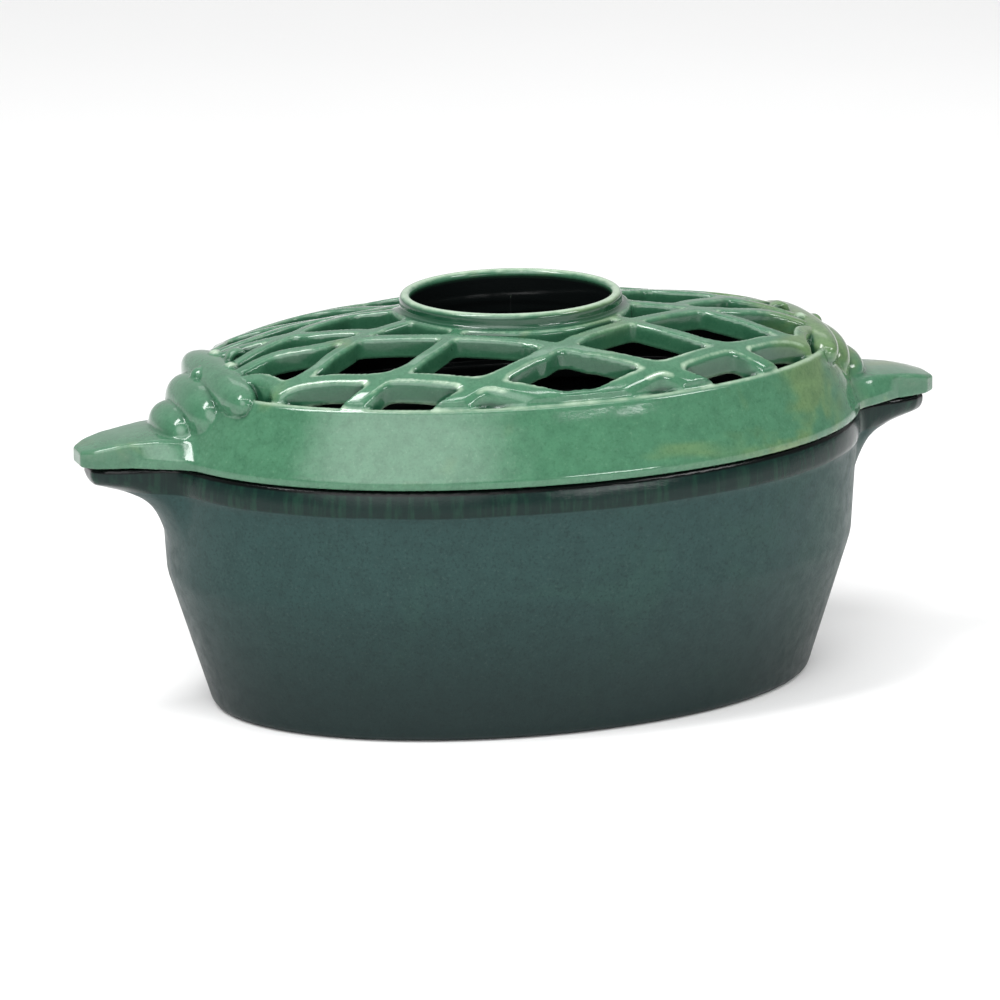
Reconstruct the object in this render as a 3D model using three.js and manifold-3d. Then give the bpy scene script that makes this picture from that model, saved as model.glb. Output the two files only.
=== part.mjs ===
// Oval cast-iron stove humidifier (steamer): an open oval pot with two end lugs, and a
// domed lattice lid with a filler collar, two end lugs and a scalloped ornament over each lug.
// Units are millimetres. +Z is up, X runs along the oval's long axis, the origin is the
// centre of the pot's flat base.
import * as THREE from "three";
import { mergeVertices } from "three/addons/utils/BufferGeometryUtils.js";
import Module from "manifold-3d";

const wasm = await Module();
wasm.setup();

// --- Driving dimensions -------------------------------------------------------------------

// Pot: half-axes of the oval at each level.
const BASE = { a: 121.5, b: 78, z: 0 };
const BASE_CORNER = 4;
const KINK = { a: 138.8, b: 90.8, z: 56 };
const RIM_UNDER = { a: 141, b: 92.2, z: 93.5 };
const RIM = { a: 142, b: 93, z: 103.8 };
const POT_WALL = 4.5;
const POT_FLOOR = 5;
const SEAM_GAP = 0.3;

// Lid: skirt, shoulder ring and dome.
const LID_Z = RIM.z + SEAM_GAP;
const LIP_HEIGHT = 4;
const RING = { a: 130.5, b: 83.8, z: 133 };
const LID_WALL = 4;
const DOME_RISE = 20;
const DOME_FAR_FLATTER = 0.28;
const BAR_WIDTH = 5.4;
const BAR_DEPTH = 8;
const REGISTER_DROP = 4;
const REGISTER_WALL = 3;
const REGISTER_CLEARANCE = 1;

// Collar round the filler opening.
const COLLAR_BORE = { a: 39.6, b: 35.6 };
const COLLAR_WALL = 4.2;
const COLLAR_TOP = 158.3;
const COLLAR_FLANGE = 5;

// Lugs at both ends: outline in plan (distance along X, half width), side profile (X, Z) and
// end profile (half width, Z), with Z measured from the seam.
const LID_LUG_PLAN = [
  [130, 25], [139, 23.2], [147, 18.6], [156, 13.8], [166, 11.2], [172.6, 8.8], [175.4, 6.4], [176.3, 4],
];
const LID_LUG_SIDE = [
  [128, 0], [175.2, 0], [176.4, 1], [176.4, 4.6], [174.6, 6.6], [168, 8.8], [160, 10.4], [147, 12], [128, 13.2],
];
const LID_LUG_END = [[25, 0], [25, 3.6], [16, 11], [14.4, 13.4]];
const POT_LUG_SHORTER = 4;
const POT_LUG_SIDE = [
  [134, 0], [170.6, 0], [172.4, -1.5], [172.4, -6], [168, -8], [158, -11],
  [150, -15], [145, -20], [141, -28], [134, -34],
];
const POT_LUG_END = [[28, 0], [26, -4], [19, -13], [11, -24], [4, -34]];

// Ribs of the end ornament: centre X and Z, half sizes in X, Y and Z.
const RIBS = [
  [119, 131, 9.9, 38.5, 10],
  [127.3, 122, 11.1, 25.5, 13.1],
  [136.2, 115.2, 10.3, 17.5, 10.7],
];
// Round stud on the middle rib, and the curl inboard of the upper rib: centre X and Z, radii.
const STUD = { x: 126.8, z: 135, r: 3.5 };
const CURL = { x: 111.8, z: 140.2, r: 3, wire: 1.5 };

// Centre lines of the lattice bars in one quadrant, in plan; each is mirrored to the others.
const BARS = [
  [[106, 40.5], [98.3, 43], [88, 48], [69.3, 57.6], [57, 63.2], [35.8, 72.4], [15, 80.4], [-1, 83.5]],
  [[90, 63], [79, 60.8], [69.3, 57.6], [60, 55.5], [52.5, 50.5], [36.8, 36.5], [30, 29]],
  [[0, 57.3], [9.5, 62.3], [18.3, 66.4], [35.8, 72.4], [58, 77]],
  [
    [116, 17], [104, 15.5], [97, 16.5], [87, 20], [71, 21.8], [62, 25], [52, 29.5], [36.8, 36.5],
    [17.5, 46.4], [8.5, 51.8], [0, 57.3],
  ],
  [[106, 40.5], [99, 40.5], [91, 37.8], [83.5, 32], [71, 21.8], [64.5, 17.8], [55.5, 14.5], [42, 9.5]],
  [[118, -10], [104, -4.5], [90, 0], [75, 8.8], [62, 17]],
  [[106, 40.5], [108, 34], [111.5, 28], [118, 23]],
];

// Sides of every oval, and the length of a facet along a bar.
const OVAL_SEGMENTS = 48;
const BAR_STEP = 12;

// --- Helpers ------------------------------------------------------------------------------

// A closed THREE geometry as a manifold solid.
function solid(geometry) {
  const g = geometry.clone();
  g.deleteAttribute("normal");
  g.deleteAttribute("uv");
  const merged = mergeVertices(g, 1e-4);
  return new wasm.Manifold(
    new wasm.Mesh({
      numProp: 3,
      vertProperties: merged.attributes.position.array,
      triVerts: new Uint32Array(merged.index.array),
    }),
  );
}

// A manifold solid as a THREE geometry.
function geometryOf(body) {
  const mesh = body.getMesh();
  const g = new THREE.BufferGeometry();
  g.setAttribute("position", new THREE.BufferAttribute(mesh.vertProperties, 3));
  g.setIndex(new THREE.BufferAttribute(mesh.triVerts, 1));
  g.computeVertexNormals();
  return g;
}

// An oval body of revolution: each profile point is [half-axis along X, half-axis along Y, Z],
// where Z is a height or a function of X and Y. A profile starts and ends on the axis, or closes
// on itself.
function ovalLathe(profile, segments = OVAL_SEGMENTS) {
  const lathe = new THREE.LatheGeometry(
    profile.map(([a], j) => new THREE.Vector2(a, j)),
    segments,
  );
  const position = lathe.attributes.position;
  const perTurn = profile.length;
  for (let i = 0; i <= segments; i++) {
    const angle = ((i % segments) / segments) * Math.PI * 2;
    profile.forEach(([a, b, z], j) => {
      const x = a * Math.cos(angle);
      const y = b * Math.sin(angle);
      position.setXYZ(i * perTurn + j, x, y, typeof z === "function" ? z(x, y) : z);
    });
  }
  return solid(lathe);
}

// A plain extrusion of an outline, from Z = 0 up.
function extruded(outline, depth) {
  const shape = new THREE.Shape(outline.map(([u, v]) => new THREE.Vector2(u, v)));
  return new THREE.ExtrudeGeometry(shape, { depth, bevelEnabled: false });
}

// An upright prism on a plan outline, from z0 to z1.
const prism = (outline, z0, z1) => solid(extruded(outline, z1 - z0).translate(0, 0, z0));

// An ellipsoid with its centre on the XZ plane.
function ellipsoid([x, z, rx, ry, rz], mirror, sides = 14) {
  const g = new THREE.SphereGeometry(1, sides, sides / 2 + 1);
  g.rotateX(Math.PI / 2);
  g.scale(rx, ry, rz);
  g.translate(x * mirror, 0, z);
  return solid(g);
}

const union = (bodies) => bodies.reduce((sum, body) => sum.add(body));

const grown = ({ a, b }, by) => ({ a: a + by, b: b + by });

// Height of the dome's outer surface over a plan point. The far half (+Y) is a little flatter.
function domeHeight(x, y) {
  const rho = Math.min(Math.hypot(x / RING.a, y / RING.b), 1);
  const far = Math.min(Math.max(y / 45, 0), 1);
  const rise = DOME_RISE * (1 - DOME_FAR_FLATTER * far * far * (3 - 2 * far));
  const power = 3.3 + 1.7 * (y / RING.b) ** 2;
  return RING.z + rise * (1 - rho ** power) ** 0.75;
}

// --- Pot ----------------------------------------------------------------------------------

const potInner = (level) => grown(level, -POT_WALL);

function potProfile() {
  const foot = grown(BASE, -BASE_CORNER);
  const corner = BASE_CORNER * 0.3;
  const rimIn = potInner(RIM);
  const underIn = potInner(RIM_UNDER);
  const kinkIn = potInner(KINK);
  const floorIn = grown(BASE, -POT_WALL);
  return [
    [0, 0, 0],
    [foot.a, foot.b, 0],
    [BASE.a - corner, BASE.b - corner, corner],
    [BASE.a + 1.2, BASE.b + 0.8, BASE_CORNER],
    [KINK.a - 0.9, KINK.b - 0.7, KINK.z - 3.5],
    [KINK.a, KINK.b, KINK.z + 1],
    [RIM_UNDER.a - 0.8, RIM_UNDER.b - 0.8, RIM_UNDER.z - 1],
    [RIM_UNDER.a + 0.6, RIM_UNDER.b + 0.6, RIM_UNDER.z + 1],
    [RIM.a, RIM.b, RIM.z - 1],
    [RIM.a - 0.8, RIM.b - 0.8, RIM.z],
    [rimIn.a, rimIn.b, RIM.z],
    [underIn.a, underIn.b, RIM_UNDER.z],
    [kinkIn.a, kinkIn.b, KINK.z],
    [floorIn.a + 2, floorIn.b + 2, POT_FLOOR + 5],
    [floorIn.a - 3, floorIn.b - 3, POT_FLOOR],
    [0, 0, POT_FLOOR],
  ];
}

function potCavity() {
  const rimIn = potInner(RIM);
  const underIn = potInner(RIM_UNDER);
  const kinkIn = potInner(KINK);
  return ovalLathe([
    [0, 0, 20],
    [kinkIn.a - 14, kinkIn.b - 14, 20],
    [kinkIn.a, kinkIn.b, KINK.z],
    [underIn.a, underIn.b, RIM_UNDER.z],
    [rimIn.a, rimIn.b, RIM.z + 1],
    [0, 0, RIM.z + 1],
  ]);
}

// One lug: the part that its plan, side and end outlines have in common.
function lug(plan, side, end, baseZ, direction) {
  const mirrored = (points) => points.toReversed().map(([u, v]) => [-u, v]);
  const tongue = [...plan, ...plan.slice(0, -1).toReversed().map(([x, y]) => [x, -y])];
  const fromAbove = tongue.map(([x, y]) => [x * direction, y]);
  const fromSide = side.map(([x, z]) => [x * direction, z + baseZ]);
  const fromEnd = [...end, ...mirrored(end)].map(([y, z]) => [y, z + baseZ]);
  const across = solid(extruded(fromSide, 120).rotateX(Math.PI / 2).translate(0, 60, 0));
  const along = solid(
    extruded(fromEnd, 400).rotateX(Math.PI / 2).rotateZ(Math.PI / 2).translate(-200, 0, 0),
  );
  return prism(fromAbove, baseZ - 60, baseZ + 60).intersect(across).intersect(along);
}

function buildPot() {
  const shorter = LID_LUG_PLAN.map(([x, y]) => [x - (x > 150 ? POT_LUG_SHORTER : 0), y]);
  const lugs = [-1, 1].map((d) => lug(shorter, POT_LUG_SIDE, POT_LUG_END, RIM.z, d));
  return union([ovalLathe(potProfile()), ...lugs.map((l) => l.subtract(potCavity()))]);
}

// --- Lid ----------------------------------------------------------------------------------

// The skirt's outer face, from the seam up to the ring.
const SKIRT_OUTSIDE = [
  [RIM.a, RIM.b, LID_Z],
  [RIM.a, RIM.b, LID_Z + LIP_HEIGHT],
  [RIM.a - 1.2, RIM.b - 1.1, LID_Z + LIP_HEIGHT + 1.2],
  [RIM.a - 4.2, RIM.b - 3.5, LID_Z + 12],
  [RING.a + 2.2, RING.b + 1.8, RING.z - 7],
  [RING.a + 0.3, RING.b + 0.3, RING.z - 1.6],
];
const inward = ([a, b, z]) => [a - LID_WALL, b - LID_WALL, z];
const ringIn = grown(RING, -LID_WALL);

function skirt() {
  return ovalLathe([
    ...SKIRT_OUTSIDE,
    [RING.a - 0.9, RING.b - 0.9, RING.z - 0.3],
    [RING.a - 2, RING.b - 2, RING.z],
    [ringIn.a + 0.8, ringIn.b + 0.8, RING.z - 0.4],
    ...SKIRT_OUTSIDE.map(inward).toReversed(),
    [RIM.a, RIM.b, LID_Z],
  ]);
}

// Register: a low rim under the lid that drops inside the pot's mouth.
function register() {
  const outer = grown(potInner(RIM), -REGISTER_CLEARANCE);
  const inner = grown(outer, -REGISTER_WALL);
  const low = LID_Z - REGISTER_DROP;
  const high = LID_Z + LIP_HEIGHT;
  return ovalLathe([
    [outer.a - 0.6, outer.b - 0.6, low],
    [outer.a, outer.b, low + 1],
    [outer.a, outer.b, LID_Z + 0.5],
    [RIM.a - LID_WALL + 0.5, RIM.b - LID_WALL + 0.5, LID_Z + 1.5],
    [RIM.a - LID_WALL + 0.5, RIM.b - LID_WALL + 0.5, high],
    [inner.a, inner.b, LID_Z + 1],
    [inner.a, inner.b, low],
    [outer.a - 0.6, outer.b - 0.6, low],
  ]);
}

// The dome's full thickness, before the lattice is cut from it.
function domeSlab() {
  const steps = [0, 0.45, 0.68, 0.83, 0.92, 0.97];
  const at = (f, drop) => [RING.a * f, RING.b * f, (x, y) => domeHeight(x, y) - drop];
  return ovalLathe([
    ...steps.map((f) => at(f, BAR_DEPTH)),
    [RING.a * 0.988, RING.b * 0.985, RING.z - BAR_DEPTH],
    [RING.a * 0.988, RING.b * 0.985, RING.z - 0.6],
    ...steps.toReversed().map((f) => at(f, 0)),
  ]);
}

// An upright wall of the bar's width along its centre line.
function ribbon(points, mirrorX, mirrorY) {
  const curve = new THREE.CatmullRomCurve3(
    points.map(([x, y]) => new THREE.Vector3(x * mirrorX, y * mirrorY, 0)),
    false,
    "centripetal",
  );
  const count = Math.round(curve.getLength() / BAR_STEP);
  const sides = [[], []];
  for (let i = 0; i <= count; i++) {
    const p = curve.getPoint(i / count);
    const t = curve.getTangent(i / count);
    sides[0].push([p.x - t.y * BAR_WIDTH * 0.5, p.y + t.x * BAR_WIDTH * 0.5]);
    sides[1].push([p.x + t.y * BAR_WIDTH * 0.5, p.y - t.x * BAR_WIDTH * 0.5]);
  }
  return prism([...sides[0], ...sides[1].reverse()], RING.z - 30, RING.z + 40);
}

function lattice() {
  const ribbons = [];
  for (const bar of BARS)
    for (const mx of [-1, 1])
      for (const my of [-1, 1]) ribbons.push(ribbon(bar, mx, my));
  const flange = grown(COLLAR_BORE, COLLAR_WALL + COLLAR_FLANGE);
  ribbons.push(ovalCylinder(flange, RING.z - 30, RING.z + 40));
  return union(ribbons).intersect(domeSlab());
}

function ovalCylinder({ a, b }, z0, z1) {
  return ovalLathe([[0, 0, z0], [a, b, z0], [a, b, z1], [0, 0, z1]]);
}

function collar() {
  const outer = grown(COLLAR_BORE, COLLAR_WALL);
  const low = RING.z + DOME_RISE - BAR_DEPTH;
  const root = (rise) => (x, y) => domeHeight(x, y) + rise;
  return ovalLathe([
    [COLLAR_BORE.a - 1, COLLAR_BORE.b - 1, low - 3],
    [outer.a + 3, outer.b + 3, low - 3],
    [outer.a + 3, outer.b + 3, root(0.5)],
    [outer.a + 1, outer.b + 1, root(1.6)],
    [outer.a, outer.b, root(3)],
    [outer.a, outer.b, COLLAR_TOP - 1.4],
    [outer.a - 1.4, outer.b - 1.4, COLLAR_TOP],
    [COLLAR_BORE.a + 1.2, COLLAR_BORE.b + 1.2, COLLAR_TOP],
    [COLLAR_BORE.a, COLLAR_BORE.b, COLLAR_TOP - 1.4],
    [COLLAR_BORE.a - 1, COLLAR_BORE.b - 1, low - 3],
  ]);
}

// The room under the lid that the ornaments and lugs must not fill.
function underLid() {
  const under = (f) => [RING.a * f, RING.b * f, (x, y) => domeHeight(x, y) - BAR_DEPTH];
  return ovalLathe([
    [0, 0, LID_Z - 10],
    [RIM.a - LID_WALL, RIM.b - LID_WALL, LID_Z - 10],
    ...SKIRT_OUTSIDE.slice(0, -2).map(inward),
    [ringIn.a + 1.8, ringIn.b + 1.8, RING.z - 7.5],
    ...[0.92, 0.8, 0.6, 0].map(under),
  ]);
}

// One end ornament: three stepped ribs, a stud and a curl.
function ornament(direction) {
  const curl = new THREE.TorusGeometry(CURL.r, CURL.wire, 6, 10).rotateX(Math.PI / 2);
  return union([
    ...RIBS.map((rib) => ellipsoid(rib, direction)),
    ellipsoid([STUD.x, STUD.z, STUD.r, STUD.r, STUD.r], direction, 10),
    solid(curl.translate(CURL.x * direction, 0, CURL.z)),
  ]);
}

function buildLid() {
  const ends = [-1, 1].flatMap((d) => [
    lug(LID_LUG_PLAN, LID_LUG_SIDE, LID_LUG_END, LID_Z, d),
    ornament(d),
  ]);
  const below = ovalCylinder({ a: 400, b: 400 }, LID_Z - 60, LID_Z);
  const outside = union(ends).subtract(underLid()).subtract(below);
  const bore = ovalCylinder(grown(COLLAR_BORE, -1), RING.z - 20, COLLAR_TOP + 5);
  return union([skirt(), register(), lattice(), collar(), outside]).subtract(bore);
}

// --- Assembly -----------------------------------------------------------------------------

function part(name, body, color, roughness) {
  const material = new THREE.MeshStandardMaterial({ color, roughness, metalness: 0 });
  const mesh = new THREE.Mesh(geometryOf(body), material);
  mesh.name = name;
  return mesh;
}

const steamer = new THREE.Group();
steamer.add(part("pot", buildPot(), 0x2f4a40, 0.35));
steamer.add(part("lattice_lid", buildLid(), 0x2e7350, 0.15));

export default steamer;
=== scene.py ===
import math

import bpy
import numpy as np
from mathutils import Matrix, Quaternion, Vector


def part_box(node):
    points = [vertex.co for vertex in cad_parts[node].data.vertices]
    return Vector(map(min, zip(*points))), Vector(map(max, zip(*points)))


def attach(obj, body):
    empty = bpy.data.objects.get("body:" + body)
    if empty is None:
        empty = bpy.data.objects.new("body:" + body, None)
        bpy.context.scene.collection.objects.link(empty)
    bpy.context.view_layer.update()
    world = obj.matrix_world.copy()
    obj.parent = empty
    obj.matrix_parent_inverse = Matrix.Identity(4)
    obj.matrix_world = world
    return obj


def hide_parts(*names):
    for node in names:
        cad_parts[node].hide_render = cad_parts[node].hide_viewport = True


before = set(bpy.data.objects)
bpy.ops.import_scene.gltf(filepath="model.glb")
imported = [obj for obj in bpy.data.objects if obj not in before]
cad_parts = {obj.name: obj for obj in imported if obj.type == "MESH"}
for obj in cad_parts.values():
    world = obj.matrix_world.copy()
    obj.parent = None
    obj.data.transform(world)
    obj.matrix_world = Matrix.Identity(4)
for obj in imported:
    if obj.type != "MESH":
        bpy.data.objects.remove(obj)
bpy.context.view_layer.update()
MM = 0.001

# --- Sizes in millimetres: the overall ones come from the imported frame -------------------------
pot_high = np.array(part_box("pot")[1]) / MM
lid_high = np.array(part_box("lattice_lid")[1]) / MM
RIM_Z = pot_high[2]
SEAM_GAP = 0.3
SEAM = RIM_Z + SEAM_GAP
# The lid's top, its lug tips and its rim across Y stay a hair inside the frame's box.
TOP = lid_high[2] - 0.03
TIP = lid_high[0] - 0.05
RIM_A, RIM_B = 142.0, lid_high[1] - 0.1
RING_A, RING_B, RING_Z = 130.5, 83.8, 133.0
BORE_A, BORE_B, COLLAR_WALL = 39.6, 35.6, 4.2
DOME_RISE, DOME_FAR_FLATTER = 20.0, 0.28
BAR_WIDTH, BAR_DEPTH = 5.4, 8.0
WALL, POT_WALL, POT_FLOOR = 3.8, 4.5, 5.0
COLLAR_FLANGE = 3.5
SHOULDER_Z = 126.0


# --- Signed distance helpers ---------------------------------------------------------------------
def smooth_min(a, b, k):
    """Join two fields with a fillet about k across."""
    h = np.clip(0.5 + 0.5 * (b - a) / k, 0, 1)
    return b + (a - b) * h - k * h * (1 - h)


def round_max(a, b, r):
    """Intersect two fields, rounding the edge between them to radius r."""
    u, v = np.maximum(a + r, 0), np.maximum(b + r, 0)
    return np.minimum(np.maximum(a, b), -r) + np.hypot(u, v)


def oval(x, y, a, b):
    """Distance to an ellipse with half sizes a and b, negative inside."""
    k0 = np.hypot(x / a, y / b)
    k1 = np.hypot(x / (a * a), y / (b * b))
    return k0 * (k0 - 1) / np.maximum(k1, 1e-6)


class Profile:
    """A smooth curve through (z, value) points, read from a fine table."""

    def __init__(self, points, soft=1.2):
        z, v = np.array(points, float).T
        self.z = np.arange(z[0] - 12, z[-1] + 12, 0.2)
        raw = np.interp(self.z, z, v)
        n = int(soft * 3 / 0.2)
        w = np.exp(-0.5 * (np.arange(-n, n + 1) * 0.2 / soft) ** 2)
        self.v = np.convolve(np.pad(raw, n, mode="edge"), w / w.sum(), mode="valid")

    def __call__(self, z):
        return np.interp(z, self.z, self.v)


class Plan:
    """A field over a rectangle of the plan, read by bilinear interpolation."""

    def __init__(self, x0, x1, y0, y1, step, field):
        self.x0, self.y0, self.step = x0, y0, step
        gx, gy = np.arange(x0, x1 + step, step), np.arange(y0, y1 + step, step)
        self.g = field(*np.meshgrid(gx, gy, indexing="ij"))

    def __call__(self, x, y):
        i = np.clip((x - self.x0) / self.step, 0, self.g.shape[0] - 1.001)
        j = np.clip((y - self.y0) / self.step, 0, self.g.shape[1] - 1.001)
        i0, j0 = i.astype(np.int32), j.astype(np.int32)
        u, v = i - i0, j - j0
        g = self.g
        low = g[i0, j0] * (1 - u) + g[i0 + 1, j0] * u
        return low * (1 - v) + (g[i0, j0 + 1] * (1 - u) + g[i0 + 1, j0 + 1] * u) * v


def spline(points, per=8):
    """Catmull-Rom curve through plan points, with per steps between each pair."""
    p = np.array(points, float)
    p = np.vstack([2 * p[0] - p[1], p, 2 * p[-1] - p[-2]])
    t = np.linspace(0, 1, per, endpoint=False)[:, None]
    out = []
    for a, b, c, d in zip(p, p[1:], p[2:], p[3:]):
        out.append(0.5 * (2 * b + (c - a) * t + (2 * a - 5 * b + 4 * c - d) * t**2
                          + (3 * b - a - 3 * c + d) * t**3))
    return np.vstack(out + [p[-2][None]])


def line_distance(x, y, pts):
    """Distance to a run of straight segments."""
    best = np.full(x.shape, 1e9)
    for (ax, ay), (bx, by) in zip(pts, pts[1:]):
        dx, dy = bx - ax, by - ay
        h = np.clip(((x - ax) * dx + (y - ay) * dy) / (dx * dx + dy * dy), 0, 1)
        best = np.minimum(best, np.hypot(x - ax - h * dx, y - ay - h * dy))
    return best


def polygon_distance(x, y, pts):
    """Distance to a closed outline, negative inside."""
    pts = [tuple(p) for p in pts]
    ring = pts + pts[:1]
    inside = np.zeros(x.shape, bool)
    for (ax, ay), (bx, by) in zip(ring, ring[1:]):
        if ay != by:
            hit = ((ay > y) != (by > y)) & (x < (bx - ax) * (y - ay) / (by - ay) + ax)
            inside ^= hit
    d = line_distance(x, y, ring)
    return np.where(inside, -d, d)


# --- Lattice plan ---------------------------------------------------------------------------------
# Centre lines of the bars in one quadrant; each is mirrored to the other three.
BARS = [
    [(106, 40.5), (98.3, 43), (88, 48), (79, 53.3), (69.3, 57.6), (57, 63.2), (44.6, 69), (35.8, 72.4),
     (25.5, 76.6), (15, 80.4), (8, 82.5), (-1, 83.5)],
    [(90, 63), (79, 60.8), (69.3, 57.6), (60, 55.5), (52.5, 50.5), (44.8, 44.5), (36.8, 36.5), (30, 29)],
    [(-9.5, 62.3), (0, 57.3), (9.5, 62.3), (18.3, 66.4), (26.5, 69.8), (35.8, 72.4), (45, 75), (58, 77)],
    [(116, 17), (104, 15.5), (97, 16.5), (87, 20), (78, 20.8), (71, 21.8), (62, 25), (52, 29.5), (44, 33),
     (36.8, 36.5), (26, 42), (17.5, 46.4), (8.5, 51.8), (0, 57.3), (-8.5, 51.8)],
    [(106, 40.5), (99, 40.5), (91, 37.8), (83.5, 32), (75.5, 26.5), (71, 21.8), (64.5, 17.8), (55.5, 14.5),
     (44, 10)],
    [(118, -10), (104, -4.5), (90, 0), (82, 5.5), (75, 8.8), (68, 12.5), (62, 17)],
    [(106, 40.5), (108, 34), (111.5, 28), (118, 23)],
]


def lattice_plan(x, y):
    """Distance to the nearest bar's side in the quadrant x > 0, y > 0, with filleted corners."""
    flange = COLLAR_WALL + COLLAR_FLANGE
    out = oval(x, y, BORE_A + flange, BORE_B + flange)
    for bar in BARS:
        for sx in (-1, 1):
            for sy in (-1, 1):
                pts = spline([(px * sx, py * sy) for px, py in bar])
                keep = (pts[:, 0] > -15) & (pts[:, 1] > -15)
                if keep.sum() > 1:
                    d = line_distance(x, y, pts[keep]) - BAR_WIDTH / 2
                    out = smooth_min(out, d, 2.4)
    return out


LATTICE = Plan(0, 134, 0, 88, 0.35, lattice_plan)

# --- Lug plan: outline of the tongue, before its edges are rounded --------------------------------
CORNER = 2.5
LUG_PLAN = [(126, 17), (139, 15.6), (147, 14.8), (156, 13.2), (166, 11.2), (TIP - 3.2, 8.6), (TIP, 5)]


def lug_outline(x, y, shorter=0.0):
    """Distance to the tongue's outline, with corners rounded to CORNER."""
    pts = [(px - (shorter if px > 150 else 0), py) for px, py in LUG_PLAN]
    pts = pts + [(px, -py) for px, py in reversed(pts)]
    inner = [(px - CORNER, py * (1 - CORNER / 24) if abs(py) > 3 else py) for px, py in pts]
    return polygon_distance(x, y, inner) - CORNER


LID_LUG = Plan(110, 184, 0, 44, 0.4, lug_outline)
POT_LUG = Plan(110, 184, 0, 44, 0.4, lambda x, y: lug_outline(x, y, 4.0))
# Along X: the height of the lid lug's top from the seam, and of the pot lug's underside from the rim.
LUG_TOP = Profile([(130, 13), (138, 12.3), (147, 12.0), (155, 11), (163, 10), (168, 8.9),
                   (172, 7.8), (178, 6)], 1.5)
GUSSET = Profile([(128, -44), (134, -36), (141, -27), (145, -20.5), (150, -15.5), (158, -11.5),
                  (168, -8.4), (173, -7), (180, -6.5)], 2.0)

# --- Lid ------------------------------------------------------------------------------------------
SKIRT_A = Profile([(SEAM, RIM_A), (SEAM + 3.6, RIM_A), (SEAM + 5.2, RIM_A - 1.1), (SEAM + 12, RIM_A - 4.2),
                   (SHOULDER_Z, RING_A + 2.2), (RING_Z, RING_A)], 0.9)
SKIRT_B = Profile([(SEAM, RIM_B), (SEAM + 3.6, RIM_B), (SEAM + 5.2, RIM_B - 1.0), (SEAM + 12, RIM_B - 3.4),
                   (SHOULDER_Z, RING_B + 1.8), (RING_Z, RING_B)], 0.9)
SCALLOPS = [   # centre x, centre z, half sizes in x, y and z
    (119.0, 131.0, 9.6, 38.0, 9.8),
    (127.3, 122.0, 10.8, 25.0, 12.8),
    (136.2, 115.2, 10.0, 17.0, 10.4),
]
STUD = (126.8, 0.0, 135.0, 3.5)             # centre, then radius
CURLS = [   # centre, radius of the loop and half thickness of its wire
    (111.8, 0.0, 140.4, 3.0, 1.5),
    (117.0, 10.5, 139.0, 1.8, 1.2),
]
# The locating lip inside the rim: how far in from the rim and half the thickness, then its reach above
# and below the seam. A ledge joins it to the skirt: the same two sizes, its height and half its depth.
REGISTER_IN, REGISTER_HALF, REGISTER_UP, REGISTER_DOWN = 7.2, 1.5, 3.0, 4.0
LEDGE_IN, LEDGE_HALF, LEDGE_UP, LEDGE_HALF_DEPTH = 5.4, 3.3, 2.2, 1.4


def dome_height(x, y):
    """Height of the dome's outer surface. The far half is a little flatter than the near half."""
    rho = np.sqrt(np.minimum((x / RING_A) ** 2 + (y / RING_B) ** 2, 0.9985))
    back = np.clip(y / 45, 0, 1)
    rise = DOME_RISE * (1 - DOME_FAR_FLATTER * back * back * (3 - 2 * back))
    near = np.maximum(np.hypot(x / 43.8, y / 39.8) - 1, 0)
    return RING_Z + rise * (1 - rho ** (3.3 + 1.7 * (y / RING_B) ** 2)) ** 0.75 + 0.7 * np.exp(-5 * near)


def dome_slope(x, y):
    """Cosine of the dome's tilt, which turns a height difference into a distance."""
    gx = (dome_height(x + 0.2, y) - dome_height(x - 0.2, y)) / 0.4
    gy = (dome_height(x, y + 0.2) - dome_height(x, y - 0.2)) / 0.4
    return 1 / np.sqrt(1 + gx**2 + gy**2)


DOME = Plan(0, 134, -90, 90, 0.6, dome_height)
SLOPE = Plan(0, 134, -90, 90, 0.6, dome_slope)


def lobe(x, y, z, cx, cz, rx, ry, rz):
    """A rounded rib across the end of the lid: an ellipsoid with a slightly squarer section."""
    u, v, w = np.abs(x - cx) / rx, np.abs(y) / ry, np.abs(z - cz) / rz
    k = (u**2.3 + v**2.3 + w**2.3) ** (1 / 2.3)
    slope = np.sqrt((u**1.3 / rx) ** 2 + (v**1.3 / ry) ** 2 + (w**1.3 / rz) ** 2) / np.maximum(k, 0.2) ** 1.3
    return (k - 1) / np.maximum(slope, 0.025)


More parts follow.
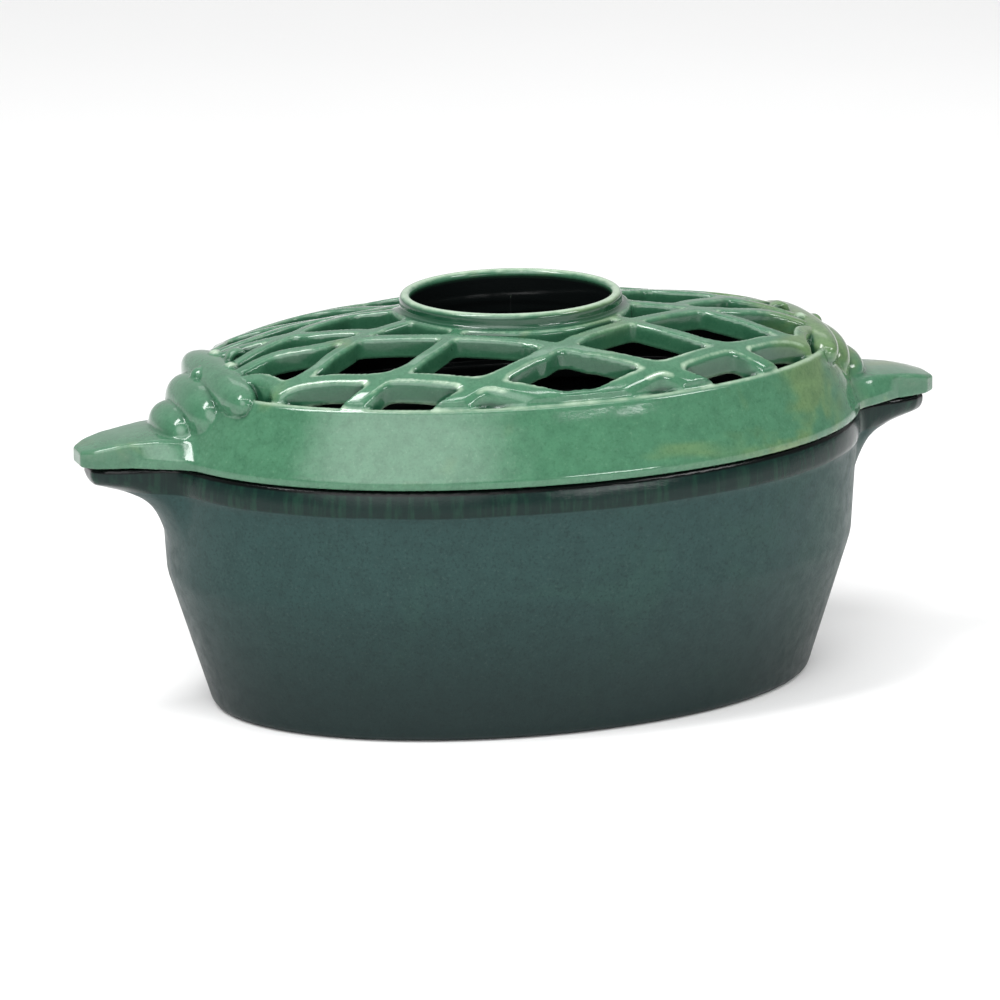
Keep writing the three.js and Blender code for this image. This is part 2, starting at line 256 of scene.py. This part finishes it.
def lid_field(x, y, z):
    x = np.abs(x)
    above = (z - DOME(x, y)) * SLOPE(x, y)
    y = np.abs(y)
    side = oval(x, y, SKIRT_A(z), SKIRT_B(z)) * 0.95
    shell = np.abs(side + WALL / 2) - WALL / 2
    out = round_max(shell, z - RING_Z, 1.75)

    bars = LATTICE(x, y) + np.clip(above, -9, 2) * 0.07
    slab = np.abs(above + BAR_DEPTH / 2) - BAR_DEPTH / 2
    lattice = round_max(bars, slab, 1.5)
    lattice = np.maximum(lattice, oval(x, y, RING_A - 1.6, RING_B - 1.6))
    lattice = round_max(lattice, -oval(x, y, BORE_A, BORE_B), 1.2)
    out = smooth_min(out, lattice, 1.2)

    ring = np.abs(oval(x, y, BORE_A + COLLAR_WALL / 2, BORE_B + COLLAR_WALL / 2)) - COLLAR_WALL / 2
    collar = round_max(round_max(ring, z - TOP, 1.9), RING_Z + DOME_RISE - BAR_DEPTH - z, 1.2)
    out = smooth_min(out, collar, 1.3)

    flare = np.clip((158 - x) / 20, 0, 1) * np.clip(SEAM + 13 - z, 0, 9)
    tongue = (LID_LUG(x, y) - 0.85 * flare) * 0.78
    lug = round_max(tongue, (z - SEAM - LUG_TOP(x) + 0.004 * y * y) * 0.97, 1.2)
    solid = smooth_min(lug, side, 4.0)
    leaf = None
    for rib in SCALLOPS:
        part = lobe(x, y, z, *rib)
        leaf = part if leaf is None else smooth_min(leaf, part, 0.4)
    cx, cy, cz, r = STUD
    leaf = smooth_min(leaf, np.sqrt((x - cx) ** 2 + (y - cy) ** 2 + (z - cz) ** 2) - r, 0.8)
    solid = smooth_min(np.maximum(solid, z - SHOULDER_Z), leaf, 1.2)
    hollow = np.maximum(side + WALL, np.minimum(above + BAR_DEPTH, z - SHOULDER_Z - 1))
    solid = np.maximum(solid, -hollow)
    out = np.minimum(out, solid)
    for cx, cy, cz, r, w in CURLS:
        curl = np.hypot(np.hypot(x - cx, z - cz) - r, np.maximum(np.abs(y - cy) - 1.2, 0)) - w
        out = smooth_min(out, curl, 0.7)

    register = np.abs(oval(x, y, RIM_A - REGISTER_IN, RIM_B - REGISTER_IN)) - REGISTER_HALF
    register = round_max(register, z - SEAM - REGISTER_UP, 1.0)
    register = round_max(register, SEAM - REGISTER_DOWN - z, 1.0)
    ledge = np.abs(oval(x, y, RIM_A - LEDGE_IN, RIM_B - LEDGE_IN)) - LEDGE_HALF
    ledge = round_max(ledge, np.abs(z - SEAM - LEDGE_UP) - LEDGE_HALF_DEPTH, 0.8)
    register = smooth_min(register, ledge, 1.0)
    out = round_max(out, SEAM - z, 0.9)
    return smooth_min(out, register, 1.5)


# --- Pot ------------------------------------------------------------------------------------------
POT_A = Profile([(0, 121.3), (4, 122.6), (54, 138.4), (56.5, 138.9), (92.2, 141.0), (93.8, 142), (97, 142),
                 (100.5, 141.5), (RIM_Z, 140.6)], 0.6)
POT_B = Profile([(0, 77.8), (4, 78.7), (54, 90.4), (56.5, 90.9), (92.2, 92.1), (93.8, 93.0), (97, 93.0),
                 (100.5, 92.5), (RIM_Z, 91.6)], 0.6)


def pot_field(x, y, z):
    x, y = np.abs(x), np.abs(y)
    a, b = POT_A(z), POT_B(z)
    side = oval(x, y, a, b) * 0.97
    under = (RIM_Z + GUSSET(x) + 0.035 * y * y - z) * 0.8
    lug = round_max(POT_LUG(x, y), under, 3.0)
    body = smooth_min(side, lug, 7.0)
    room = round_max(oval(x, y, a - POT_WALL, b - POT_WALL) * 0.97, POT_FLOOR - z, 7.0)
    body = round_max(body, -z, 3.2)
    wall = np.maximum(body, -room)
    return round_max(wall, z - RIM_Z, 1.4)


# --- Surface nets ---------------------------------------------------------------------------------
def surface(field, low, high, step, probe=1.7):
    """Vertices, quads and normals of the field's zero surface, with edge and cavity measures."""
    axes = [np.arange(low[i], high[i] + step, step) for i in range(3)]
    right_half = axes[0][axes[0].size // 2:]
    if abs(right_half[0]) > 1e-6:
        axes[0] = np.concatenate([-right_half[::-1], right_half])
    values = np.empty([a.size for a in axes], np.float32)
    for i, xv in enumerate(axes[0]):
        gy, gz = np.meshgrid(axes[1], axes[2], indexing="ij")
        values[i] = field(np.full(gy.shape, xv), gy, gz)
    sign = values < 0
    shape = np.array(values.shape) - 1
    count = np.zeros(shape, np.int8)
    corners = [(i, j, k) for i in (0, 1) for j in (0, 1) for k in (0, 1)]
    for i, j, k in corners:
        count += sign[i:i + shape[0], j:j + shape[1], k:k + shape[2]]
    active = (count > 0) & (count < 8)
    cells = np.argwhere(active)
    index = np.full(shape, -1, np.int64)
    index[active] = np.arange(len(cells))
    total = np.zeros((len(cells), 3))
    weight = np.zeros(len(cells))
    for c in corners:
        for axis in range(3):
            if c[axis] == 0:
                d = list(c)
                d[axis] = 1
                va = values[tuple((cells + c).T)]
                vb = values[tuple((cells + d).T)]
                hit = (va < 0) != (vb < 0)
                t = np.where(hit, va / np.where(hit, va - vb, 1), 0)
                p = np.repeat(np.array([c], float), len(cells), 0)
                p[:, axis] += t
                total[hit] += p[hit]
                weight[hit] += 1
    local = total / weight[:, None]
    pos = np.stack([np.interp(cells[:, i] + local[:, i], np.arange(axes[i].size), axes[i])
                    for i in range(3)], 1)
    quads = []
    for axis in range(3):
        other = [i for i in range(3) if i != axis]
        lo = [slice(0, s) for s in shape]
        hi = list(lo)
        lo[axis], hi[axis] = slice(0, shape[axis]), slice(1, shape[axis] + 1)
        sl = [slice(1, s) for s in shape]
        sl[axis] = slice(0, shape[axis])
        sh = [slice(1, s) for s in shape]
        sh[axis] = slice(1, shape[axis] + 1)
        s0, s1 = sign[tuple(sl)], sign[tuple(sh)]
        for flip, mask in ((False, s0 & ~s1), (True, ~s0 & s1)):
            e = np.argwhere(mask)
            for i in other:
                e[:, i] += 1
            o = np.zeros((4, 3), int)
            o[1, other[0]] = o[2, other[0]] = -1
            o[2, other[1]] = o[3, other[1]] = -1
            q = np.stack([index[tuple((e + k).T)] for k in o], 1)
            turn = flip != (axis == 1)
            quads.append(q[:, ::-1] if turn else q)
    quads = np.concatenate(quads)

    def gradient(p, h=0.15):
        return np.stack([field(*(p + s).T) - field(*(p - s).T) for s in np.eye(3) * h], 1) / (2 * h)

    for _ in range(3):
        g = gradient(pos)
        move = field(*pos.T)[:, None] * g / np.maximum((g * g).sum(1), 0.2)[:, None]
        pos -= np.clip(move, -0.5 * step, 0.5 * step)
    g = gradient(pos, 0.25)
    normal = g / np.maximum(np.linalg.norm(g, axis=1), 1e-6)[:, None]
    edge = np.clip((field(*(pos - normal * probe).T) + probe) / probe, 0, 1)
    cavity = np.clip((probe - field(*(pos + normal * probe).T)) / probe, 0, 1)
    return pos, quads, normal, edge, cavity


def spread(value, quads, rounds=2):
    """Average a vertex value with its neighbours, so that it runs evenly along thin edges."""
    count = np.bincount(quads.ravel(), minlength=len(value))
    for _ in range(rounds):
        face = value[quads].mean(1)
        total = np.bincount(quads.ravel(), np.repeat(face, 4), minlength=len(value))
        value = total / np.maximum(count, 1)
    return value


def casting(name, field, low, high, step, inside, wear_and_painted_light):
    """Mesh one casting. Its "cast" attribute holds edge wear, pooling and the ground-coat mask; on the lid
    also painted highlight and painted shade.
    """
    pos, quads, normal, edge, cavity = surface(field, low, high, step)
    edge, cavity = wear_and_painted_light(*pos.T, normal[:, 2], edge, cavity)
    edge, cavity = spread(edge, quads), spread(cavity, quads)
    covered = inside(*pos.T)
    mesh = bpy.data.meshes.new(name)
    mesh.vertices.add(len(pos))
    mesh.vertices.foreach_set("co", (pos * MM).astype(np.float32).ravel())
    mesh.loops.add(quads.size)
    mesh.loops.foreach_set("vertex_index", quads.astype(np.int32).ravel())
    mesh.polygons.add(len(quads))
    mesh.polygons.foreach_set("loop_start", np.arange(0, quads.size, 4, dtype=np.int32))
    mesh.polygons.foreach_set("material_index", (covered[quads].mean(1) > 0.5).astype(np.int32))
    mesh.update(calc_edges=True)
    mesh.validate()
    mesh.shade_smooth()
    mesh.normals_split_custom_set_from_vertices([tuple(n) for n in normal])
    tone = mesh.attributes.new("cast", "FLOAT_COLOR", "POINT")
    colour = np.stack([edge, cavity, covered, np.ones(len(pos))], 1)
    tone.data.foreach_set("color", colour.astype(np.float32).ravel())
    obj = bpy.data.objects.new(name, mesh)
    bpy.context.scene.collection.objects.link(obj)
    return obj


def pot_inside(x, y, z):
    """1 where the pot shows its ground coat: the inside face."""
    gap = oval(np.abs(x), np.abs(y), POT_A(z), POT_B(z))
    return ((gap < -2.6) & (z > 2)).astype(float)


def lid_inside(x, y, z):
    """1 where the lid shows its ground coat: the underside, the skirt's inner face and the bore."""
    ax, ay = np.abs(x), np.abs(y)
    inner = np.clip((-oval(ax, ay, SKIRT_A(z), SKIRT_B(z)) * 0.95 - 2.4) / 0.8, 0, 1)
    below = np.clip(((DOME(ax, y) - z) * SLOPE(ax, y) - BAR_DEPTH + 0.45) / 0.4, 0, 1)
    skirt = np.clip((SHOULDER_Z - z) / 1.5, 0, 1)
    bore = oval(ax, ay, BORE_A + 0.8, BORE_B + 0.8) < 0
    bore = bore * np.clip((TOP - 1.8 - z) / 1.0, 0, 1)
    return np.clip(np.maximum(inner * np.maximum(below, skirt), bore), 0, 1)


def pot_worn(x, y, z, up, edge, cavity):
    """The rim keeps its full coat."""
    return edge * (z < 98), cavity


def lid_wear_and_painted_light(x, y, z, up, edge, cavity):
    """The glaze pulls back from the ring's crest, the collar's lip and the bars' edges, with painted
    highlight there;
    painted shade darkens the collar's side and the cells' upright walls. up is the height of the surface's
    normal."""
    ax, ay = np.abs(x), np.abs(y)
    plan = oval(ax, ay, RING_A, RING_B)
    lattice_only = np.clip((112 - ax) / 6, 0, 1)
    # ring and lip: the pale crest of the ring and lip of the collar, glaze pulling back plus painted
    # highlight.
    ring = np.clip((z - RING_Z + 1.2) / 0.8, 0, 1) * np.clip((118 - ax) / 2, 0, 1)
    ring = ring * np.clip((plan + WALL) / 1.0, 0, 1) * np.clip((RING_Z + 0.7 - z) / 0.5, 0, 1)
    lip = np.clip((z - TOP + 0.8) / 0.6, 0, 1)
    # collar: painted shade over the collar's side below its lip.
    collar = np.abs(oval(ax, ay, BORE_A + COLLAR_WALL, BORE_B + COLLAR_WALL))
    collar = np.clip((2.6 - collar) / 1.0, 0, 1) * np.clip((TOP - 1.0 - z) / 0.6, 0, 1)
    edge = edge * np.clip((z - SEAM - 1.8) / 1.2, 0, 1)
    # Inside the ring the pale edges fade out where the dome is steep.
    edge = np.where(plan < -1.5, edge * np.clip((SLOPE(ax, y) - 0.62) / 0.2, 0, 1), edge)
    # wall: painted shade on the cells' upright walls.
    wall = np.clip((-plan - WALL) / 1.5, 0, 1) * np.clip(1.15 - 1.9 * np.abs(up), 0, 1)
    wall = wall * lattice_only * (1 - lip)
    # brow: painted highlight along the bars' rounded edges that face up on the flatter part of the dome,
    # where the glaze also pulls back.
    brow = np.clip(1 - np.abs(SLOPE(ax, y) - up - 0.24) / 0.2, 0, 1) * (plan < -WALL) * lattice_only
    brow = brow * (1 - collar) * np.clip((SLOPE(ax, y) - 0.5) / 0.2, 0, 1)
    # The pale marks are glaze wear with painted highlight; the wall and collar darkening is painted shade.
    bare_and_highlight = np.maximum(0.5 * np.maximum(ring, lip), 0.9 * brow)
    edge = np.maximum(edge * (1 - 0.5 * wall), bare_and_highlight)
    painted_shade = np.maximum(0.34 * wall, 0.6 * collar)
    return edge * (1 - 0.9 * collar), np.maximum(cavity * (1 - 0.7 * brow), painted_shade)


GRID_X, GRID_Y = 178, 95
POT_STEP, LID_STEP = 1.6, 1.0

pot = casting("pot_casting", pot_field, (-GRID_X, -GRID_Y, -3), (GRID_X, GRID_Y, RIM_Z + 3), POT_STEP,
              pot_inside, pot_worn)
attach(pot, "pot")
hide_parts("pot")

lid = casting("lid_casting", lid_field, (-GRID_X, -GRID_Y, SEAM - 6), (GRID_X, GRID_Y, TOP + 2), LID_STEP,
              lid_inside, lid_wear_and_painted_light)
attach(lid, "lid")
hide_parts("lattice_lid")


# --- Materials ------------------------------------------------------------------------------------
class Nodes:
    """Small helper for building a node tree."""

    def __init__(self, owner):
        owner.use_nodes = True
        self.tree = owner.node_tree
        self.tree.nodes.clear()

    def add(self, kind, **values):
        node = self.tree.nodes.new(kind)
        for key, value in values.items():
            if hasattr(node, key):
                setattr(node, key, value)
            else:
                self.feed(node.inputs[key], value)
        return node

    def feed(self, socket, value):
        if isinstance(value, bpy.types.NodeSocket):
            self.tree.links.new(value, socket)
        else:
            socket.default_value = value

    def math(self, operation, a, b=0.0):
        node = self.add("ShaderNodeMath", operation=operation)
        self.feed(node.inputs[0], a)
        self.feed(node.inputs[1], b)
        return node.outputs[0]

    def span(self, value, low, high, to_low=0.0, to_high=1.0):
        node = self.add("ShaderNodeMapRange", interpolation_type="SMOOTHSTEP")
        for socket, v in zip(node.inputs, (value, low, high, to_low, to_high)):
            self.feed(socket, v)
        return node.outputs[0]

    def mix(self, factor, a, b):
        node = self.add("ShaderNodeMix", data_type="RGBA")
        self.feed(node.inputs[0], factor)
        self.feed(node.inputs[6], a)
        self.feed(node.inputs[7], b)
        return node.outputs[2]

    def noise(self, where, scale, detail=2.0, rough=0.5, distortion=0.0):
        node = self.add("ShaderNodeTexNoise")
        for key, v in (("Vector", where), ("Scale", scale), ("Detail", detail),
                       ("Roughness", rough), ("Distortion", distortion)):
            self.feed(node.inputs[key], v)
        return node.outputs[0]


def rgb(r, g, b):
    return (r, g, b, 1.0)


def enamel(name, body, thin_and_highlight, thick, tint, ground, gloss, band=None, sand=0.0, specular=0.5, coat=0.0):
    """Porcelain enamel over cast iron. body is the main colour; the thin colour is where it pulls back
    from an edge and, on the lid, also the painted highlight; the thick colour is where it pools and, on the
    lid, also the painted shade; tint the large patches and ground the dark coat inside. gloss is the
    roughness range, sand the strength of the grit, and band the rim band: its lower level in metres, its
    colour, darkened as a painted reflection of dark surroundings, its streaks' colour and its roughness."""
    material = bpy.data.materials.new(name)
    n = Nodes(material)
    where = n.add("ShaderNodeTexCoord").outputs["Object"]
    cast = n.add("ShaderNodeAttribute", attribute_name="cast").outputs["Color"]
    parts = n.add("ShaderNodeSeparateColor", Color=cast)
    edge, cavity, inside = parts.outputs
    place = n.add("ShaderNodeSeparateXYZ", Vector=where)

    patches = n.noise(where, 22, 3, 0.6, 0.8)
    mottle = n.noise(where, 170, 5, 0.7, 0.4)
    fleck = n.noise(where, 900, 2, 0.6)
    right = n.math("MULTIPLY", n.span(place.outputs[0], 0.080, 0.115),
                   n.span(place.outputs[0], 0.150, 0.135, 0.0, 0.18))
    left = n.math("MULTIPLY", n.span(place.outputs[0], 0.02, -0.06), -0.12)
    drift = n.math("ADD", patches, n.math("ADD", right, left))
    colour = n.mix(n.span(drift, 0.50, 0.68), body, tint)
    colour = n.mix(n.span(mottle, 0.35, 0.7, 0.0, 0.3), colour, thick)
    colour = n.mix(n.math("MULTIPLY", n.span(fleck, 0.58, 0.78), 0.08 + sand), colour, thin_and_highlight)
    colour = n.mix(n.math("MULTIPLY", n.span(fleck, 0.48, 0.30), 0.22 + sand), colour, thick)
    # Pale where the glaze pulls back from edges and where highlight is painted; dark where it pools and
    # where shade is painted.
    wear_and_painted_light = n.math("ADD", edge, n.math("MULTIPLY", n.math("SUBTRACT", mottle, 0.5), 0.35))
    colour = n.mix(n.span(wear_and_painted_light, 0.16, 0.62, 0.0, 0.9), colour, thin_and_highlight)
    colour = n.mix(n.span(cavity, 0.06, 0.5, 0.0, 0.9), colour, thick)
    rough = n.span(mottle, 0.3, 0.75, gloss[0], gloss[1])
    if band is not None:
        # The rim band is glossier than the wall; its colour is set darker as a painted reflection of dark
        # surroundings.
        level, band_colour, streak_colour, band_gloss = band
        # Painted shade: the pot's colour darkens towards its base.
        low = n.span(place.outputs[2], 0.0, 0.080, 0.22, 1.0)
        colour = n.mix(low, rgb(0.004, 0.010, 0.010), colour)
        narrow = n.add("ShaderNodeMapping", Scale=(1.0, 1.0, 0.12), Vector=where).outputs[0]
        streak = n.span(n.noise(narrow, 260, 3, 0.7), 0.45, 0.7)
        band_colour = n.mix(streak, band_colour, streak_colour)
        wobble = n.math("MULTIPLY", n.math("SUBTRACT", patches, 0.5), 0.0012)
        at_rim = n.span(n.math("ADD", place.outputs[2], wobble), level - 0.0006, level + 0.0006)
        colour = n.mix(at_rim, colour, band_colour)
        # The rim's top edge turns near-black: black ground coat on the rim edge plus a painted shadow of the
        # seam gap under the lid.
        top_edge = n.span(place.outputs[2], 0.1015, 0.1024)
        colour = n.mix(top_edge, colour, rgb(0.001, 0.002, 0.002))
        rough = n.math("ADD", n.math("MULTIPLY", rough, n.math("SUBTRACT", 1.0, at_rim)),
                       n.math("MULTIPLY", at_rim, band_gloss))
    colour = n.mix(inside, colour, ground)
    rough = n.math("ADD", n.math("MULTIPLY", rough, n.math("SUBTRACT", 1.0, inside)),
                   n.math("MULTIPLY", inside, 0.2))

    swell = n.noise(where, 45, 2, 0.5)
    peel = n.noise(where, 420, 3, 0.55)
    grit = n.noise(where, 1500, 3, 0.7)
    waves = n.add("ShaderNodeBump", Height=swell, Strength=0.35, Distance=0.0012)
    skin = n.add("ShaderNodeBump", Height=peel, Strength=0.12, Distance=0.0003, Normal=waves.outputs[0])
    grain = n.add("ShaderNodeBump", Height=grit, Strength=0.04 + sand, Distance=0.00018,
                  Normal=skin.outputs[0])
    shader = n.add("ShaderNodeBsdfPrincipled")
    n.feed(shader.inputs["Base Color"], colour)
    n.feed(shader.inputs["Roughness"], rough)
    n.feed(shader.inputs["Normal"], grain.outputs[0])
    shader.inputs["IOR"].default_value = 1.55
    shader.inputs["Specular IOR Level"].default_value = specular
    shader.inputs["Coat Weight"].default_value = coat
    shader.inputs["Coat Roughness"].default_value = 0.04
    n.tree.links.new(shader.outputs[0], n.add("ShaderNodeOutputMaterial").inputs[0])
    return material


# On the lid the thin colour also serves as painted highlight and the thick colour as painted shade.
GREEN = dict(
    body=rgb(0.053, 0.158, 0.088), thin_and_highlight=rgb(0.38, 0.50, 0.37), thick=rgb(0.007, 0.050, 0.024),
    tint=rgb(0.105, 0.185, 0.078), ground=rgb(0.003, 0.004, 0.004), gloss=(0.08, 0.17))
DARK = dict(
    body=rgb(0.0165, 0.046, 0.043), thin_and_highlight=rgb(0.050, 0.080, 0.072), thick=rgb(0.008, 0.021, 0.020),
    tint=rgb(0.018, 0.052, 0.045), ground=rgb(0.003, 0.004, 0.004), gloss=(0.36, 0.50),
    band=(0.0932, rgb(0.004, 0.015, 0.013), rgb(0.007, 0.030, 0.020), 0.12), sand=0.30)
for casting_object, name, look, specular, coat in ((pot, "pot", DARK, 0.18, 0.0),
                                                   (lid, "lid", GREEN, 0.45, 0.15)):
    casting_object.data.materials.append(enamel(name + "_enamel", specular=specular, coat=coat, **look))
    casting_object.data.materials.append(enamel(name + "_ground_coat", specular=0.12, **look))

# --- Stage, light and camera ----------------------------------------------------------------------
floor_mesh = bpy.data.meshes.new("floor")
floor_mesh.from_pydata([(-4, -4, 0), (4, -4, 0), (4, 6, 0), (-4, 6, 0)], [], [(0, 1, 2, 3)])
floor = bpy.data.objects.new("floor", floor_mesh)
bpy.context.scene.collection.objects.link(floor)
paper = bpy.data.materials.new("floor_paper")
sheet = Nodes(paper)
grain = sheet.noise(sheet.add("ShaderNodeTexCoord").outputs["Object"], 3.0, 2)
tone = sheet.mix(grain, rgb(0.86, 0.86, 0.86), rgb(0.9, 0.9, 0.9))
diffuse = sheet.add("ShaderNodeBsdfPrincipled", **{"Base Color": tone, "Roughness": 0.8})
diffuse.inputs["Specular IOR Level"].default_value = 0.0
sheet.tree.links.new(diffuse.outputs[0], sheet.add("ShaderNodeOutputMaterial").inputs[0])
floor_mesh.materials.append(paper)

world = bpy.data.worlds.new("studio")
bpy.context.scene.world = world
world.use_nodes = True
room_light = Nodes(world)
sky = room_light.add("ShaderNodeTexCoord").outputs["Generated"]


def toward(azimuth, height):
    """Unit direction: azimuth in degrees from -Y towards -X, height above the horizon."""
    a, h = math.radians(azimuth), math.radians(height)
    return (-math.sin(a) * math.cos(h), -math.cos(a) * math.cos(h), math.sin(h))


def glow(direction, core, reach, strength):
    """A soft round bank of light: full out to core degrees, gone at reach degrees."""
    dot = room_light.add("ShaderNodeVectorMath", operation="DOT_PRODUCT")
    room_light.feed(dot.inputs[0], sky)
    room_light.feed(dot.inputs[1], direction)
    near, far = math.cos(math.radians(core)), math.cos(math.radians(reach))
    return room_light.span(dot.outputs["Value"], far, near, 0.0, strength)


light = room_light.math("ADD", glow(toward(27, 25), 7, 34, 4.0), glow(toward(180, 30), 25, 85, 0.5))
light = room_light.math("ADD", light, glow(toward(0, 90), 10, 60, 0.4))
light = room_light.math("ADD", light, 0.33)
background = room_light.add("ShaderNodeBackground", Strength=light)
room_light.tree.links.new(background.outputs[0], room_light.add("ShaderNodeOutputWorld").inputs[0])


LAMP_DISTANCE = 1.5


def softbox(name, azimuth, height, width, tall, power):
    """A rectangular lamp aimed at the middle of the pot."""
    lamp = bpy.data.lights.new(name, "AREA")
    lamp.shape, lamp.size, lamp.size_y, lamp.energy = "RECTANGLE", width, tall, power
    obj = bpy.data.objects.new(name, lamp)
    middle = Vector((0, 0, 0.1))
    place = Vector(toward(azimuth, height)) * LAMP_DISTANCE + middle
    obj.location = place
    obj.rotation_euler = (middle - place).to_track_quat("-Z", "Y").to_euler()
    bpy.context.scene.collection.objects.link(obj)


softbox("left_strip", 72, 59, 0.30, 1.00, 15)
softbox("right_box", -52, 36, 0.42, 0.30, 5)
softbox("front_low", -23, 9, 0.50, 0.12, 3)
softbox("over_strip", 8, 64, 1.7, 0.11, 6)
softbox("back_top", 200, 48, 1.0, 0.30, 1.0)

ROLL, DISTANCE = math.radians(-0.34), 2.5666
aim = Vector((-0.0049, 0, 0.0741))
sight = Vector(toward(18.75, 15.27))
camera_data = bpy.data.cameras.new("camera")
camera_data.sensor_width = 36
camera_data.lens = 235.1
camera = bpy.data.objects.new("camera", camera_data)
camera.location = aim + sight * DISTANCE
turn = (-sight).to_track_quat("-Z", "Y")
camera.rotation_mode = "QUATERNION"
camera.rotation_quaternion = turn @ Quaternion((0, 0, 1), ROLL)
bpy.context.scene.collection.objects.link(camera)
bpy.context.scene.camera = camera
bpy.context.scene.view_settings.view_transform = "Standard"
